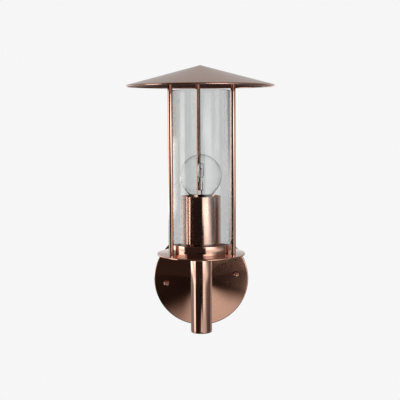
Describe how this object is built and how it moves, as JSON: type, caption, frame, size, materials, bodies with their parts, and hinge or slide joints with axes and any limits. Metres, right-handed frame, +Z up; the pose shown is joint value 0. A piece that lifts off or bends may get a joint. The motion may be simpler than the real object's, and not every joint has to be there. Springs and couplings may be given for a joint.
{
  "type": "outdoor wall light",
  "caption": "Outdoor wall light: conical hat on slim rods around a clear glass cylinder, bulb in a tall cup, upright post on an arm from a round wall plate.",
  "frame": {"origin": "centre of the wall screw pattern, on the back face of the wall bracket, in the plane of the wall", "axes": "+Z up along the lamp axis, +Y into the wall, so the lamp stands out towards -Y, +X to the right as seen from the front"},
  "size_m": [0.1934, 0.2118, 0.3658],
  "materials": {
    "copper_brushed": "satin brushed copper finish under clear lacquer",
    "copper_tube": "drawn copper tube, brushed along its length",
    "copper_hat": "spun copper, matt brushed",
    "copper_polished": "turned and polished copper plate",
    "zinc_steel": "zinc-plated steel",
    "brass_turned": "turned and stamped brass",
    "epdm_rubber": "moulded rubber",
    "silicone": "moulded silicone",
    "clear_glass": "drawn clear glass",
    "bulb_glass": "blown clear glass",
    "quartz": "clear quartz",
    "black_glass": "pressed black glass",
    "cap_alloy": "rolled aluminium",
    "tungsten_wire": "drawn wire",
    "phenolic": "moulded black phenolic",
    "steatite": "pressed steatite",
    "polyamide": "moulded white polyamide",
    "lead_brown": "extruded insulation",
    "lead_blue": "extruded insulation",
    "lead_earth": "extruded insulation, green with a yellow stripe"
  },
  "bodies": {
    "fixture": {"wall_gasket": "epdm_rubber", "wall_bracket": "zinc_steel", "bracket_studs": "zinc_steel", "cable_grommet": "epdm_rubber", "wall_plate": "copper_brushed", "stud_washers": "epdm_rubber", "cap_nuts": "copper_polished", "backing_strap": "zinc_steel", "terminal_block": "polyamide", "terminal_screws": "brass_turned", "block_screw": "zinc_steel", "earth_tag": "brass_turned", "earth_screw": "brass_turned", "arm": "copper_tube", "post": "copper_tube", "post_cap": "copper_brushed", "post_plug": "zinc_steel", "nipple": "zinc_steel", "nipple_nuts": "zinc_steel", "base_disc": "copper_brushed", "glass_ring": "copper_tube", "seat_gasket": "silicone", "rod_screws": "zinc_steel", "lampholder_cup": "copper_tube", "holder_dome": "phenolic", "holder_skirt": "phenolic", "contact_block": "steatite", "screw_shell": "brass_turned", "centre_contact": "brass_turned", "holder_terminals": "brass_turned", "live_lead": "lead_brown", "neutral_lead": "lead_blue", "earth_lead": "lead_earth"},
    "roof": {"hat": "copper_hat", "hat_bushes": "copper_tube", "rod_front_left": "copper_tube", "rod_front_right": "copper_tube", "rod_rear": "copper_tube"},
    "glass": {"glass_cylinder": "clear_glass"},
    "bulb": {"bulb_glass": "bulb_glass", "bulb_cap": "cap_alloy", "cap_insulator": "black_glass", "contact_pip": "brass_turned", "bulb_stem": "bulb_glass", "support_wires": "tungsten_wire", "capsule_pinch": "quartz", "halogen_capsule": "quartz", "filament": "tungsten_wire"}
  },
  "joints": [
    {"name": "roof_lift", "type": "slide", "parent": "fixture", "child": "roof", "axis": [0, 0, 1], "range_m": [0, 0.215]},
    {"name": "glass_lift", "type": "slide", "parent": "fixture", "child": "glass", "axis": [0, 0, 1], "range_m": [0, 0.0195]},
    {"name": "bulb_unscrew", "type": "slide", "parent": "fixture", "child": "bulb", "axis": [0, 0, 1], "range_m": [0, 0.026]}
  ]
}
